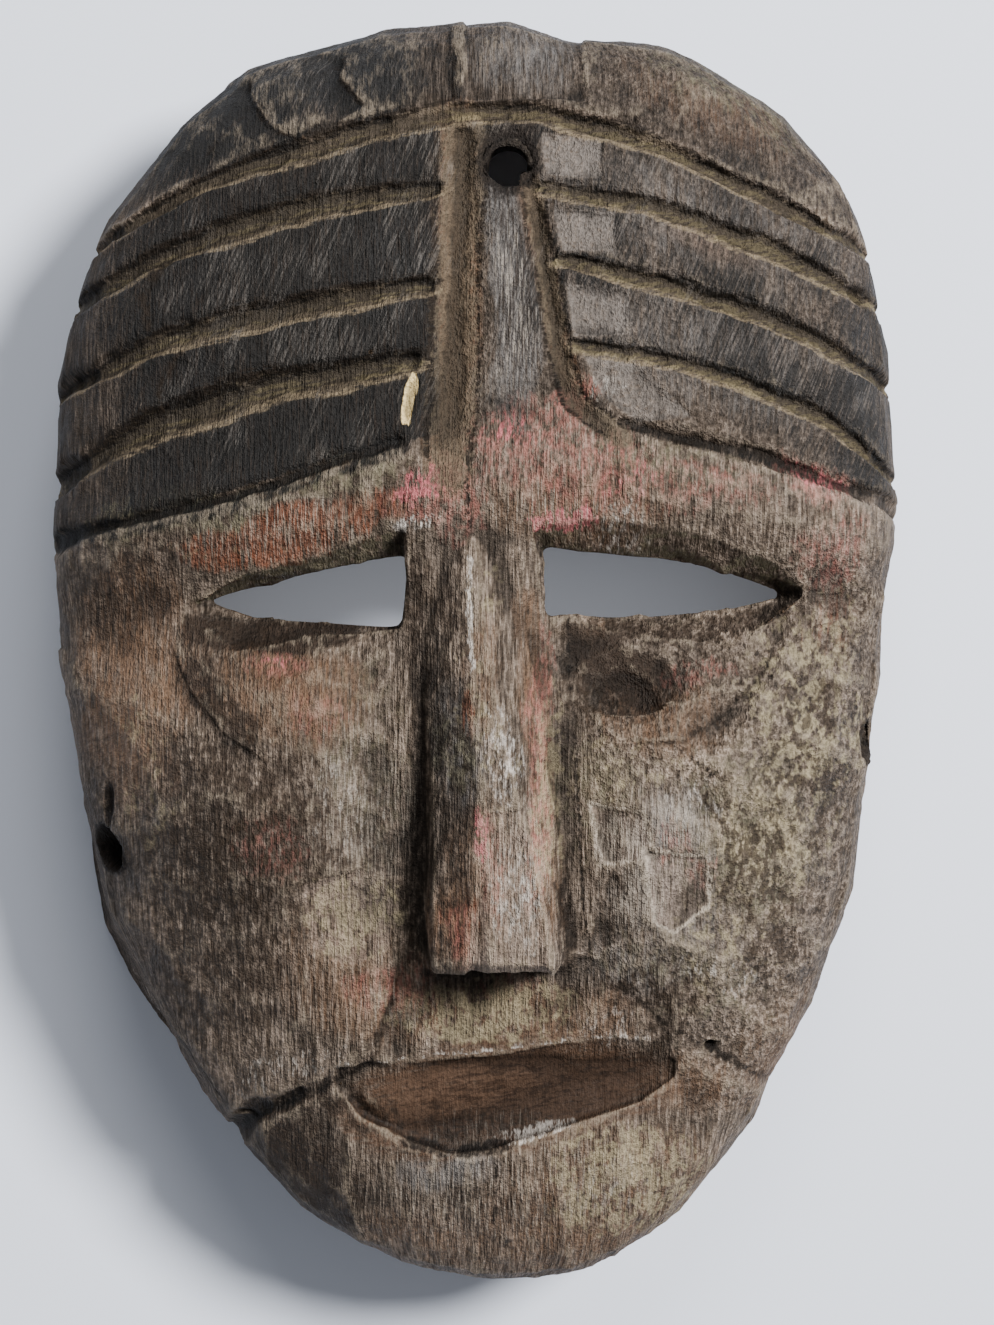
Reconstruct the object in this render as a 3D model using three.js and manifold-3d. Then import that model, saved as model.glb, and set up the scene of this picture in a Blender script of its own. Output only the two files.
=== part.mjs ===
// A carved wooden face mask, lying on its rim with the face up. Millimetres.
// +X is the viewer's right, +Y runs towards the forehead, and +Z comes out of the face.
// The origin is the middle of the flat rim.
import * as THREE from "three";
import { LoftGeometry } from "three/addons/geometries/LoftGeometry.js";
import { mergeVertices } from "three/addons/utils/BufferGeometryUtils.js";
import Module from "manifold-3d";

const wasm = await Module();
wasm.setup();

// Driving sizes
const wallHeight = 36; // the side wall, from the rim to the shoulder of the face
const crownRise = 30; // from the shoulder to the middle of the face
const crownFullness = 2.6; // a higher power makes a flatter face with rounder shoulders
const shellThickness = 10;
const rimWidth = 11.5;
const wallTaper = 0.03; // the wall leans in by this share of its reach, down at the rim
const jawFlare = 0.105; // but it splays out along the lower left jaw
const jawFlareAngle = -2.45; // radians round from +X
const noseRise = 48; // from the shoulder to the tip of the nose
const muzzleDrop = 3.2; // how far the mouth and chin lie below the cheeks
const overshoot = 12; // cutters stand this far proud of what they cut

// The shoulder of the face, seen from in front, clockwise from the top
const outlinePoints = [
  [5.9, 120.2], [19.1, 117], [40.9, 113.4], [61.7, 98.8], [73.4, 83.1],
  [78.2, 56.6], [80.4, 29.7], [77.8, 1.7], [74.6, -28.6], [68.3, -57],
  [54.1, -87.1], [35.4, -110.3], [20.1, -118.5], [-0.8, -120.2], [-25.4, -111.9],
  [-44.3, -94], [-58.5, -72.5], [-69.5, -48.5], [-77.2, -15.3], [-80.3, 17.8],
  [-79.5, 41.5], [-76.5, 66.1], [-66.6, 86.9], [-45.2, 109.2], [-18.7, 117.7],
];

// Forehead grooves, each from its start beside the middle rib out to the edge of the face
const grooves = [
  { path: [[-6.5, 84.8], [-27.8, 81.9], [-55.1, 74.3], [-77.1, 63.6]], width: 5.4 },
  { path: [[-7.7, 66.6], [-32.3, 62.5], [-57.2, 56.9], [-78.1, 48]], width: 5.4 },
  { path: [[-10.1, 52.7], [-36.7, 48], [-59.4, 41.1], [-80.1, 30.2]], width: 7 },
  { path: [[-13, 38.8], [-38.9, 29.9], [-62.4, 24.2], [-80, 19.6]], width: 4 },
  { path: [[12.1, 84.8], [32, 81.7], [58, 72.7], [76.9, 63.8]], width: 4.6 },
  { path: [[15.5, 71.2], [36.5, 66.5], [60.3, 58.5], [78.8, 49.4]], width: 4.4 },
  { path: [[18.5, 55.4], [41, 51.5], [65, 42.6], [80.5, 31.3]], width: 3.6 },
  { path: [[27, 41.5], [47, 36.5], [65.1, 31.5], [79.5, 26.2]], width: 4 },
];
const crownGroove = {
  path: [[-73.7, 74.4], [-52.9, 85.5], [-22, 95.3], [-4, 99.3], [12.1, 99.6], [32.2, 94], [53.5, 84.2], [75.8, 74.1]],
  width: 4.8,
};
const grooveDepthShare = 0.45; // of a groove's width
const grooveWrap = 9; // a groove runs this far on, down over the shoulder

// Channels left and right of the rib in the middle of the forehead
const leftChannel = {
  path: [[-1.9, 97], [-2.8, 73.2], [-3.4, 54.8], [-3.9, 42], [-4.3, 32]],
  widths: [5.5, 8, 9, 10, 9],
  depths: [2.4, 2.6, 2.6, 2.2, 0.6],
};
const rightChannel = {
  path: [[10.4, 88], [13.3, 70.3], [15.4, 56.1], [18.1, 45.7], [25, 39.5]],
  widths: [2.6, 4, 4.4, 6.4, 5],
  depths: [2.4, 2.8, 2.8, 2.6, 1],
};

// Eye openings, each clockwise: the slit itself, and the wider opening of its bevels on the face
const eyes = [
  {
    slit: [[-50.2, 9], [-39.3, 11.9], [-27, 14.8], [-18.7, 16.5], [-12.4, 17.4], [-12.8, 3.8], [-27, 4.8], [-41, 5.6]],
    bevel: [[-54, 7.5], [-41, 14.2], [-28.7, 16.8], [-18.4, 20.7], [-12.4, 22.5], [-12.8, 3.6], [-27, 2.3], [-45, -0.4]],
  },
  {
    slit: [[11.7, 18.9], [24, 17.6], [34.1, 16.7], [47.2, 14.5], [58.2, 9.9], [47, 7.2], [31.9, 5.9], [13.6, 5.9]],
    bevel: [[11.1, 21.9], [24, 23.8], [40, 21], [53, 17], [61.8, 10.6], [50, 2], [30, 2], [13.6, 5.7]],
  },
];
const bevelDepth = 7;

// The cuts round the outer ends of the lower lids, and the hollow scooped under the right slit
const leftLidCut = {
  path: [[-56, 2.3], [-53.5, -4], [-50, -10.5], [-45, -17], [-38, -21.5]],
  widths: [2.5, 5, 5.5, 4.5, 2.5],
  depths: [0.7, 1.3, 1.4, 1, 0.4],
};
const rightLidCut = {
  path: [[57.5, 7], [53.8, -3], [45.5, -11.3], [38.1, -16.3], [27, -17.2]],
  widths: [3, 6, 8, 7, 4],
  depths: [1, 1.8, 2, 1.8, 0.6],
};
const lidScoop = { at: [29, -5.5], radii: [10.5, 7.5, 4], lift: 0.8 };

// Cross-sections of the nose from its tip to its root: x at the foot, edge, ridge, ridge,
// edge and foot from left to right, then how far the edges and the ridge rise over the shoulder
const noseSections = [
  { y: -58.6, x: [-9, -7.2, 3, 14.6, 16.2, 17.8], edge: 38, ridge: noseRise - 3 },
  { y: -56.6, x: [-9, -7.4, 3, 15, 16.6, 18], edge: 39.5, ridge: noseRise },
  { y: -36, x: [-10.6, -7.2, 2, 10.4, 14.4, 18.4], edge: 37, ridge: 45.5 },
  { y: -14, x: [-11.6, -8.2, 0.4, 5, 12, 16.8], edge: 33, ridge: 42 },
  { y: 8, x: [-11.9, -10, -0.8, 1.4, 9, 13.6], edge: 28, ridge: 35.5 },
  { y: 25, x: [-12.2, -11, -1.2, 1.2, 11, 13], edge: 23, ridge: 29 },
];
const noseFoot = 20;

// The creases between the cheeks and the muzzle, out to the edge
const leftCrease = {
  path: [[-17.6, -71], [-19.4, -76.5], [-26.4, -80.9], [-41.1, -87.7], [-46, -92.5], [-53, -100]],
  widths: [1.5, 3.6, 4.4, 5.4, 5, 3],
  depths: [0.2, 1.2, 1.6, 2.4, 2.2, 1],
};
const rightCrease = {
  path: [[20, -57], [27, -61.9], [34.4, -68.4], [43.9, -73.9], [55.6, -81.3]],
  widths: [2.5, 4, 4.4, 3.6, 2],
  depths: [1, 1.8, 1.8, 1.4, 0.6],
};

// The mouth: a leaf-shaped facet that sinks towards its lower edge
const mouthPoints = [
  [-25.5, -77.4], [-18.1, -76.6], [-8, -76.1], [4.9, -74.8], [16, -73], [27, -71.9], [34.6, -73.2],
  [37.7, -76.5], [37.1, -79.8], [31, -83.8], [21.5, -86.8], [12.3, -90.2], [3.1, -92.5], [-4.3, -93.3],
  [-13.5, -90.5], [-20.9, -86.8], [-24.9, -81.7],
];
const mouthTopY = -73;
const mouthTopDepth = 0.7;
const mouthFall = 0.26; // deeper by this much for each millimetre down the facet

// Where the ground steps down from the cheeks to the muzzle, left to right across the face
const stepPoints = [
  [-80, -112], [-45.2, -92], [-41, -87.7], [-26.4, -80.9], [-17.6, -76], [-14.6, -61.5], [-13, -59],
  [20, -57], [27, -61.9], [34.4, -68.4], [43.9, -73.9], [55.6, -81.3], [80, -98],
];

// Tie holes: the middle of each, which way it runs, its radius and the length of the cut
const tieHoles = [
  { at: [6.4, 89.8, 45], along: [0, 0, 1], radius: 3.7, length: 60 },
  { at: [-60, -37.5, 46.5], along: [1, 0, 0], radius: 4.1, length: 50 },
  { at: [60, -17.9, 41], along: [1, 0, 0], radius: 4, length: 50 },
];

const faceCells = 37; // mesh cells across the face
const hollowCells = 16;
const edgeCrowding = 1.35; // draws the mesh's rings towards the edge, where the face turns down

// The reach of the outline at any angle, from evenly spaced samples of its curve
const outlineCurve = new THREE.CatmullRomCurve3(
  outlinePoints.map(([x, y]) => new THREE.Vector3(x, y, 0)), true, "centripetal",
);
const outlineSamples = outlineCurve.getPoints(900)
  .map((p) => ({ angle: Math.atan2(p.y, p.x), reach: Math.hypot(p.x, p.y) }))
  .sort((a, b) => a.angle - b.angle);

function outlineReach(angle) {
  const turned = Math.atan2(Math.sin(angle), Math.cos(angle));
  const found = outlineSamples.findIndex((s) => s.angle >= turned);
  const next = outlineSamples[Math.max(found, 0)];
  const last = outlineSamples.at(found > 0 ? found - 1 : -1);
  const gap = next.angle - last.angle;
  return gap > 0 ? THREE.MathUtils.lerp(last.reach, next.reach, (turned - last.angle) / gap) : next.reach;
}

// A bump of height 1 at the middle that dies away over the two radii
function bump(x, y, middleX, middleY, radiusX, radiusY) {
  return Math.exp(-(((x - middleX) / radiusX) ** 2) - ((y - middleY) / radiusY) ** 2);
}

function browLine(x) {
  return 31 - 0.0022 * (x - 8) ** 2;
}

function muzzleEdge(x) {
  const next = Math.max(stepPoints.findIndex((p) => p[0] >= x), 1);
  const [a, b] = [stepPoints[next - 1], stepPoints[next]];
  return THREE.MathUtils.lerp(a[1], b[1], (x - a[0]) / (b[0] - a[0]));
}

// The height of the face over a point of the plan, before any carving
function faceHeight(x, y) {
  const share = Math.min(Math.hypot(x, y) / outlineReach(Math.atan2(y, x)), 1);
  const crown = crownRise * Math.sqrt(1 - share ** crownFullness);
  const inside = 1 - share ** 8; // the features fade out at the shoulder
  const side = Math.abs(x);
  const brow = 4.2 * Math.exp(-(((y - browLine(x)) / 8) ** 2));
  const socket = -6 * Math.exp(-(((y - 7) / 11) ** 2)) * THREE.MathUtils.smoothstep(side, 9, 17);
  const cheeks = 7 * bump(side, y, 43, -34, 24, 31);
  const noseTrough = -2.5 * bump(side, y, 17, -30, 6, 26);
  const lid = 2 * bump(x, y, -30, -8, 13, 8);
  const scoop = -3 * bump(x, y, 28, -6, 13, 9);
  const muzzle = -muzzleDrop * THREE.MathUtils.smoothstep(muzzleEdge(x) - y, 0, 3);
  const chin = 3.5 * bump(x, y, 0, -101, 34, 13);
  const features = brow + socket + cheeks + noseTrough + lid + scoop + muzzle + chin;
  return wallHeight + crown + features * inside;
}

// How far the wall reaches at the rim, against the shoulder
function rimShare(angle) {
  const off = Math.atan2(Math.sin(angle - jawFlareAngle), Math.cos(angle - jawFlareAngle));
  return 1 - wallTaper + jawFlare * Math.exp(-((off / 0.42) ** 2));
}

// A point of the outer skin over a plan point; past the outline it runs on down the wall
function skinPoint(x, y) {
  const angle = Math.atan2(y, x);
  const reach = outlineReach(angle);
  const out = Math.hypot(x, y) - reach;
  if (out <= 0) return new THREE.Vector3(x, y, faceHeight(x, y));
  return new THREE.Vector3(reach * Math.cos(angle), reach * Math.sin(angle), wallHeight - out);
}

function skinNormal(x, y) {
  const step = 0.4;
  const across = skinPoint(x + step, y).sub(skinPoint(x - step, y));
  const along = skinPoint(x, y + step).sub(skinPoint(x, y - step));
  return across.cross(along).normalize();
}

// A closed geometry as a solid, turned the right way out
function solidOf(geometry) {
  geometry.deleteAttribute("normal");
  geometry.deleteAttribute("uv");
  const merged = mergeVertices(geometry, 1e-3);
  const triVerts = new Uint32Array(merged.index.array);
  const build = () => new wasm.Manifold(new wasm.Mesh({
    numProp: 3, vertProperties: merged.attributes.position.array, triVerts,
  }));
  const solid = build();
  if (solid.volume() > 0) return solid;
  for (let i = 0; i < triVerts.length; i += 3) {
    [triVerts[i + 1], triVerts[i + 2]] = [triVerts[i + 2], triVerts[i + 1]];
  }
  return build();
}

// Bends a box into a round block: place(share, angle, level) gives each point, with share
// from the middle 0 to the side 1, and level from the underside 0 to the top 1
function roundBlock(cells, levels, place) {
  const box = new THREE.BoxGeometry(2, 2, 2, cells, cells, levels);
  const points = box.attributes.position;
  for (let i = 0; i < points.count; i++) {
    const [a, b, c] = [points.getX(i), points.getY(i), points.getZ(i)];
    const wide = Math.abs(a) >= Math.abs(b);
    const share = wide ? Math.abs(a) : Math.abs(b);
    const lean = share === 0 ? 0 : (Math.PI / 4) * (wide ? b / a : a / b);
    const angle = wide ? (a < 0 ? Math.PI : 0) + lean : (b < 0 ? -Math.PI / 2 : Math.PI / 2) - lean;
    const p = place(share, angle, (c + 1) / 2);
    points.setXYZ(i, p.x, p.y, p.z);
  }
  return solidOf(box);
}

// The outer form, from the face down to the flat rim
function makeBlank() {
  return roundBlock(faceCells, 1, (share, angle, level) => {
    const spread = 1 - (1 - share) ** edgeCrowding;
    const wall = THREE.MathUtils.lerp(rimShare(angle), 1, level);
    const reach = spread * outlineReach(angle) * wall;
    const [x, y] = [reach * Math.cos(angle), reach * Math.sin(angle)];
    return new THREE.Vector3(x, y, level === 1 ? faceHeight(x, y) : 0);
  });
}

// The room behind the face, cut out from the rim side
function makeHollow() {
  return roundBlock(hollowCells, 1, (share, angle, level) => {
    const rim = outlineReach(angle) * rimShare(angle) - rimWidth;
    const shoulder = outlineReach(angle) - rimWidth - 1;
    const reach = share * (level === 1 ? shoulder : rim);
    const [x, y] = [reach * Math.cos(angle), reach * Math.sin(angle)];
    const roof = Math.min(faceHeight(x, y) - shellThickness, wallHeight + crownRise - shellThickness);
    return new THREE.Vector3(x, y, level === 1 ? roof : -overshoot);
  });
}

// Reads a list of values at a share of its length, on straight lines between them
function readAlong(values, share) {
  const place = share * (values.length - 1);
  const first = Math.min(Math.floor(place), values.length - 2);
  return THREE.MathUtils.lerp(values[first], values[first + 1], place - first);
}

// A gouge drawn along a path on the skin: its cut is a V with a narrow flat bottom
function makeGouge(path, steps, widthAt, depthAt) {
  const curve = new THREE.CatmullRomCurve3(path.map(([x, y]) => new THREE.Vector3(x, y, 0)), false, "centripetal");
  const sections = [];
  for (let i = 0; i <= steps; i++) {
    const share = i / steps;
    const plan = curve.getPointAt(share);
    const heading = curve.getTangentAt(share);
    const point = skinPoint(plan.x, plan.y);
    const up = skinNormal(plan.x, plan.y);
    const ahead = skinPoint(plan.x + heading.x * 0.4, plan.y + heading.y * 0.4).sub(point).normalize();
    const side = new THREE.Vector3().crossVectors(up, ahead).normalize();
    const [half, depth, lift] = [widthAt(share) / 2, depthAt(share), 1.6];
    const flare = half * (1 + lift / depth) * 0.92;
    const corners = [[-flare, lift], [-half * 0.22, -depth], [half * 0.22, -depth], [flare, lift]];
    sections.push(corners.map(([u, n]) => point.clone().addScaledVector(side, u).addScaledVector(up, n)));
  }
  return solidOf(new LoftGeometry(sections, { capStart: true, capEnd: true }));
}

// A forehead groove: fine where it starts, widest in the middle, and dying out over the edge
function makeGroove({ path, width }, bothEnds = false) {
  const wrapped = [...path];
  const [end, before] = [path.at(-1), path.at(-2)];
  const run = Math.hypot(end[0] - before[0], end[1] - before[1]);
  wrapped.push([0, 1].map((k) => end[k] + ((end[k] - before[k]) * grooveWrap) / run));
  if (bothEnds) {
    const [start, after] = path;
    const first = Math.hypot(start[0] - after[0], start[1] - after[1]);
    wrapped.unshift([0, 1].map((k) => start[k] + ((start[k] - after[k]) * grooveWrap) / first));
  }
  const swell = bothEnds
    ? (share) => 0.45 + 0.55 * Math.sin(Math.PI * share)
    : (share) => 0.45 + 0.55 * Math.sin(Math.PI * (0.1 + 0.9 * share));
  const widthAt = (share) => width * swell(share);
  return makeGouge(wrapped, bothEnds ? 20 : 10, widthAt, (share) => widthAt(share) * grooveDepthShare);
}

function makeCut({ path, widths, depths }) {
  return makeGouge(path, 9, (share) => readAlong(widths, share), (share) => readAlong(depths, share));
}

// The wedge that opens an eye: its bevels on the face, then the slit straight through
function makeEye({ slit, bevel }) {
  const ring = (points, heightAt) => points.map(([x, y]) => new THREE.Vector3(x, y, heightAt(x, y)));
  return solidOf(new LoftGeometry([
    ring(bevel, () => wallHeight + crownRise + overshoot),
    ring(bevel, (x, y) => faceHeight(x, y) - 0.2),
    ring(slit, (x, y) => faceHeight(x, y) - bevelDepth),
    ring(slit, () => 0),
  ], { capStart: true, capEnd: true }));
}

function makeNose() {
  const sections = noseSections.map(({ y, x, edge, ridge }) => {
    const rises = [noseFoot, edge, ridge, ridge, edge, noseFoot];
    return x.map((across, i) => new THREE.Vector3(across, y, wallHeight + rises[i]));
  });
  return solidOf(new LoftGeometry(sections, { capStart: true, capEnd: true }));
}

function makeMouth() {
  const depth = (y) => mouthTopDepth + (mouthTopY - y) * mouthFall;
  return solidOf(new LoftGeometry([
    mouthPoints.map(([x, y]) => new THREE.Vector3(x, y, wallHeight + crownRise + overshoot)),
    mouthPoints.map(([x, y]) => new THREE.Vector3(x, y, faceHeight(x, y) - depth(y))),
  ], { capStart: true, capEnd: true }));
}

function makeScoop({ at: [x, y], radii, lift }) {
  const bowl = new THREE.SphereGeometry(1, 12, 8);
  bowl.scale(...radii);
  bowl.translate(x, y, faceHeight(x, y) + lift);
  return solidOf(bowl);
}

function makeTieHole({ at, along, radius, length }) {
  const cylinder = new THREE.CylinderGeometry(radius, radius, length, 14);
  const aim = new THREE.Vector3(...along);
  cylinder.applyQuaternion(new THREE.Quaternion().setFromUnitVectors(new THREE.Vector3(0, 1, 0), aim));
  cylinder.translate(...at);
  return solidOf(cylinder);
}

function carveMask() {
  let body = makeBlank().subtract(makeHollow());
  for (const eye of eyes) body = body.subtract(makeEye(eye));
  const cuts = [leftChannel, rightChannel, leftLidCut, rightLidCut, leftCrease, rightCrease];
  for (const cut of cuts) body = body.subtract(makeCut(cut));
  body = body.subtract(makeScoop(lidScoop));
  body = body.subtract(makeGroove(crownGroove, true));
  for (const groove of grooves) body = body.subtract(makeGroove(groove));
  body = body.subtract(makeMouth());
  body = body.add(makeNose());
  for (const hole of tieHoles) body = body.subtract(makeTieHole(hole));
  return body.decompose().sort((a, b) => b.volume() - a.volume())[0]; // loose crumbs fall away
}

function geometryOf(solid) {
  const mesh = solid.getMesh();
  const geometry = new THREE.BufferGeometry();
  geometry.setAttribute("position", new THREE.BufferAttribute(new Float32Array(mesh.vertProperties), 3));
  geometry.setIndex(new THREE.BufferAttribute(new Uint32Array(mesh.triVerts), 1));
  geometry.computeVertexNormals();
  return geometry;
}

const agedWood = new THREE.MeshStandardMaterial({ color: 0x6b5a48, roughness: 0.8, metalness: 0 });

const ritualMask = new THREE.Group();
const mask = new THREE.Mesh(geometryOf(carveMask()), agedWood);
mask.name = "mask";
ritualMask.add(mask);

export default ritualMask;
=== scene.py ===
import math
import bpy
import numpy as np
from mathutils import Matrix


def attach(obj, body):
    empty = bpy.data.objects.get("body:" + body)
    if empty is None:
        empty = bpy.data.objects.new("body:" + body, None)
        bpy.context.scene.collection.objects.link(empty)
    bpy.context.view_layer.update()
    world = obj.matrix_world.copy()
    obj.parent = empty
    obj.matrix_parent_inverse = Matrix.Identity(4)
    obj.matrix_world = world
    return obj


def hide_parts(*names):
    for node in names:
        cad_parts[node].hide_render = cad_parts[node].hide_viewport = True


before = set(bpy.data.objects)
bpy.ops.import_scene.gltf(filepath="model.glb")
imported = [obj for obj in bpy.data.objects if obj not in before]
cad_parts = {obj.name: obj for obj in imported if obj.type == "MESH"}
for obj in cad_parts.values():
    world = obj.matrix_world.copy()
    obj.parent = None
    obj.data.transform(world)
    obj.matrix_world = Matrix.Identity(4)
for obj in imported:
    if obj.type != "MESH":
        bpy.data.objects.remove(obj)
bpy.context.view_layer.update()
print("frame loaded")


# Sculpting and painting are worked out in millimetres.

def toLinear(code):
    parts = [int(code[i:i + 2], 16) / 255 for i in (1, 3, 5)]
    return tuple(c / 12.92 if c <= 0.04045 else ((c + 0.055) / 1.055) ** 2.4 for c in parts) + (1.0,)


def addNode(tree, kind, settings=None, links=None):  # hands back the output that is in use
    made = tree.nodes.new(kind)
    for name, value in (settings or {}).items():
        if isinstance(name, int) or name in made.inputs:
            made.inputs[name].default_value = value
        else:
            setattr(made, name, value)
    for name, source in (links or {}).items():
        tree.links.new(source, made.inputs[name])
    return next((socket for socket in made.outputs if socket.enabled), None)


def fadeIn(value, low, high):
    share = np.clip((value - low) / (high - low), 0, 1)
    return share * share * (3 - 2 * share)


def latticeValue(i, j, k, seed):
    mixed = (i * 374761393 + j * 668265263 + k * 1440662683 + seed * 974634777) & 0xFFFFFFFF
    mixed = ((mixed ^ (mixed >> 13)) * 1274126177) & 0xFFFFFFFF
    return ((mixed ^ (mixed >> 16)) & 0xFFFF) / 65535.0


def roughness(points, size, seed):  # smooth noise from -1 to 1, with lumps of the given size in mm
    scaled = points / np.asarray(size, float)
    cell = np.floor(scaled).astype(np.int64)
    part = scaled - cell
    part = part * part * (3 - 2 * part)
    total = np.zeros(len(points))
    for a in (0, 1):
        for b in (0, 1):
            for c in (0, 1):
                weight = (np.abs(1 - a - part[:, 0]) * np.abs(1 - b - part[:, 1])
                          * np.abs(1 - c - part[:, 2]))
                total += weight * latticeValue(cell[:, 0] + a, cell[:, 1] + b, cell[:, 2] + c, seed)
    return 2 * total - 1


def alongPath(x, y, path):  # offset to the left of the path, share of its length, and plain distance
    best = np.full(len(x), 1e9)
    offset, share = np.zeros(len(x)), np.zeros(len(x))
    lengths = [math.dist(p, q) for p, q in zip(path, path[1:])]
    gone = 0
    for (ax, ay), (bx, by), length in zip(path, path[1:], lengths):
        ux, uy = (bx - ax) / length, (by - ay) / length
        along = np.clip((x - ax) * ux + (y - ay) * uy, 0, length)
        dx, dy = x - ax - along * ux, y - ay - along * uy
        distance = np.hypot(dx, dy)
        nearer = distance < best
        best = np.where(nearer, distance, best)
        offset = np.where(nearer, np.sign(ux * dy - uy * dx) * distance, offset)
        share = np.where(nearer, (gone + along) / sum(lengths), share)
        gone += length
    return offset, share, best


def insidePolygon(x, y, corners):  # depth inside a convex outline, negative outside
    depth = np.full(len(x), 1e9)
    middle = np.mean(corners, axis=0)
    for (ax, ay), (bx, by) in zip(corners, corners[1:] + corners[:1]):
        length = math.hypot(bx - ax, by - ay)
        nx, ny = (ay - by) / length, (bx - ax) / length
        side = (x - ax) * nx + (y - ay) * ny
        if (middle[0] - ax) * nx + (middle[1] - ay) * ny < 0:
            side = -side
        depth = np.minimum(depth, side)
    return depth


def spot(x, y, at, size, turn=0):  # 1 at the middle, 0 at the edge of an oval and beyond
    c, s = math.cos(math.radians(turn)), math.sin(math.radians(turn))
    dx, dy = x - at[0], y - at[1]
    return np.clip(1 - ((dx * c + dy * s) / size[0]) ** 2 - ((dy * c - dx * s) / size[1]) ** 2, 0, 1)


def chiselCuts(u, v, cut):  # overlapping flat cuts: the lowest of the nearby planes wins
    c, s = math.cos(math.radians(cut["turn"])), math.sin(math.radians(cut["turn"]))
    a, b = (u * c + v * s) / cut["width"], (v * c - u * s) / cut["length"]
    cellA, cellB = np.floor(a).astype(np.int64), np.floor(b).astype(np.int64)
    lowest, tone = np.full(len(u), 1e9), np.zeros(len(u))
    for i in (-1, 0, 1):
        for j in (-1, 0, 1):
            p, q = cellA + i, cellB + j
            chance = [latticeValue(p, q, k, cut["seed"]) for k in range(6)]
            da = a - p - 0.5 - 0.7 * (chance[0] - 0.5)
            db = b - q - 0.5 - 0.7 * (chance[1] - 0.5)
            level = 2.2 * (da * da + db * db) + 1.3 * (chance[2] - 0.5) * da
            level += 1.3 * (chance[3] - 0.5) * db - 0.5 * chance[4]
            lower = level < lowest
            lowest = np.where(lower, level, lowest)
            tone = np.where(lower, chance[5], tone)
    return cut["depth"] * (lowest - 0.25), tone


# The carving: paths and cuts on the face, x and y in mm

grooves = {
    "crown": {"path": [(-73.7, 74.4), (-52.9, 85.5), (-22, 95.3), (-4, 99.3), (12.1, 99.6), (32.2, 94),
                       (53.5, 84.2), (75.8, 74.1)], "width": 4.8, "bothEnds": True},
    "left1": {"path": [(-76, 64.2), (-55.1, 74.3), (-27.8, 81.9), (-6.5, 84.8)], "width": 5.2},
    "left2": {"path": [(-78.1, 48), (-57.2, 56.9), (-32.3, 62.5), (-7.7, 66.6)], "width": 5.2},
    "left3": {"path": [(-80.1, 30.2), (-59.4, 41.1), (-36.7, 48), (-10.1, 52.7)], "width": 6.6},
    "right1": {"path": [(12.1, 84.8), (32, 81.7), (58, 72.7), (76.9, 63.8)], "width": 4.4},
    "right2": {"path": [(15.5, 71.2), (36.5, 66.5), (60.3, 58.5), (78.8, 49.4)], "width": 4.2},
    "right3": {"path": [(18.5, 55.4), (41, 51.5), (65, 42.6), (80.5, 31.3)], "width": 3.4},
}
browLines = {
    "left": [(-79, 20.8), (-57.8, 24.8), (-40, 29.1), (-26.1, 33.8), (-12.2, 37.6)],
    "right": [(27, 41.5), (38.8, 38.6), (52.9, 35.8), (65, 31.5), (78.2, 28)],
}
channels = {
    "left": {"path": [(-1.9, 97), (-2.8, 73.2), (-3.4, 54.8), (-3.9, 42), (-4.3, 32)], "width": 9},
    "right": {"path": [(10.4, 86), (13.3, 70.3), (15.4, 56.1), (18.1, 45.7), (27, 38.5)], "width": 4.2},
}
creases = {
    "left": {"path": [(-48, -94), (-41.1, -87.7), (-26.4, -80.9), (-19, -76.5), (-16.5, -69), (-12, -57)],
             "width": 5},
    "right": {"path": [(20, -57), (27, -61.9), (34.4, -68.4), (43.9, -73.9), (55.6, -81.3)], "width": 4.4},
}
facets = {  # flat cuts with a crisp edge
    "capMiddle": {"corners": [(-1.7, 125), (21, 124), (20.6, 102.4), (-1.5, 102)], "depth": 0.8,
                  "tone": 0.62},
    "tool1": {"corners": [(12.6, 95.4), (23.5, 94.2), (23.5, 87), (13.4, 87.4)], "depth": 0.5, "tone": 0.9},
    "tool2": {"corners": [(15, 81), (25.6, 80.2), (25.9, 73), (16.2, 73)], "depth": 0.6, "tone": 1.0},
    "tool3": {"corners": [(17.2, 66.8), (27.4, 65.6), (28.6, 57.6), (18.4, 57.2)], "depth": 0.6,
              "tone": 1.0},
    "tool4": {"corners": [(20, 54.2), (29, 53.4), (40, 42.4), (30, 41.4), (24, 46)], "depth": 0.7,
              "tone": 0.95},
    "striped": {"corners": [(20.8, -28), (31, -29.6), (33.2, -38), (24, -39.2)], "depth": 0.9,
                "tone": 0.95},
    "whiteEdged": {"corners": [(31, -36.6), (42.8, -38), (43, -47), (37, -51.4), (33, -50)], "depth": 1.0,
                   "tone": 1.0},
    "cheekSlant": {"corners": [(25, -40), (33, -52), (24, -55), (21, -48)], "depth": 0.5, "tone": 0.75},
    "cheekTop": {"corners": [(30, -21), (44, -22), (45, -32), (31, -30)], "depth": 0.5, "tone": 0.75},
    # the left-cheek facet's light tone is a painted highlight
    "cheekLit": {"corners": [(-31.5, -43), (-20, -40), (-14, -46), (-15, -55), (-22, -58), (-29.8, -55)],
                 "depth": 0.4, "tone": 0.85},
    "noseTip": {"corners": [(1.8, -29.6), (9, -28.6), (14, -60), (-1.5, -60)], "depth": 0.8, "tone": 0.8},
}
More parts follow.
